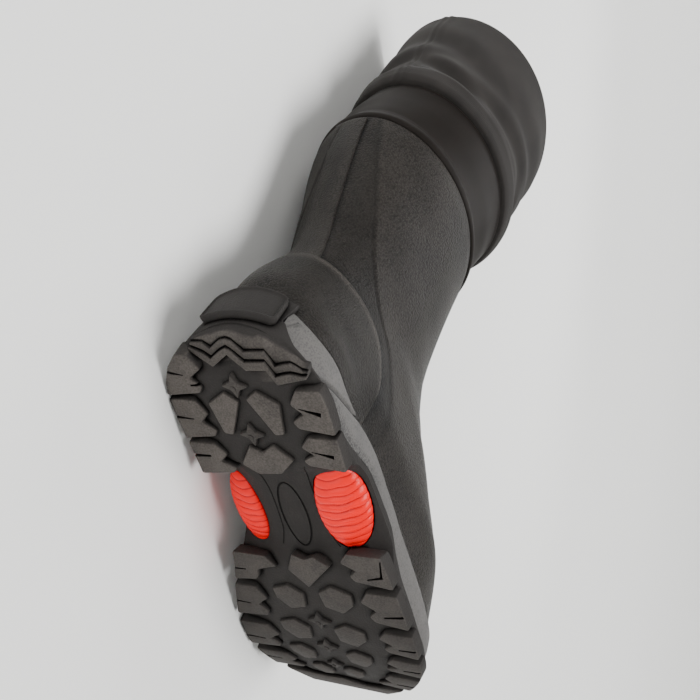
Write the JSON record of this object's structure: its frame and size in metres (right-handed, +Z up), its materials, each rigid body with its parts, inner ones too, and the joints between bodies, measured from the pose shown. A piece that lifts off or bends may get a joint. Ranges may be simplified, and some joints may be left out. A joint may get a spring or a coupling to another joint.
{
  "type": "wader boot",
  "caption": "Right rubber wader boot lying on its side, with a lugged sole, ribbed arch pads, a grey midsole band, a tall shaft and the start of a neoprene leg.",
  "frame": {"origin": "centre of the bounding box's base: the floor under the boot as it lies on its medial side", "axes": "X runs from the heel to the toe, Y runs from the tread up the shaft to the leg's hem, Z is up, out of the boot's lateral side"},
  "size_m": [0.3186, 0.3904, 0.1218],
  "materials": {
    "black_rubber": "matte moulded black rubber",
    "grey_foam_rubber": "matte grey moulded foam rubber",
    "red_rubber": "glossy red ribbed rubber",
    "boot_rubber": "fine-grained charcoal rubber, satin",
    "band_rubber": "smooth charcoal rubber tape, satin",
    "neoprene": "knit-faced grey neoprene, matte",
    "footbed_foam": "fabric-covered foam footbed"
  },
  "bodies": {
    "root": {"outsole": "black_rubber", "midsole": "grey_foam_rubber", "pod_medial": "red_rubber", "pod_lateral": "red_rubber", "kick_tab": "black_rubber", "insole": "footbed_foam", "upper": "boot_rubber", "heel_counter": "boot_rubber", "back_stay": "boot_rubber", "cuff_band": "band_rubber", "leg": "neoprene"}
  },
  "joints": []
}
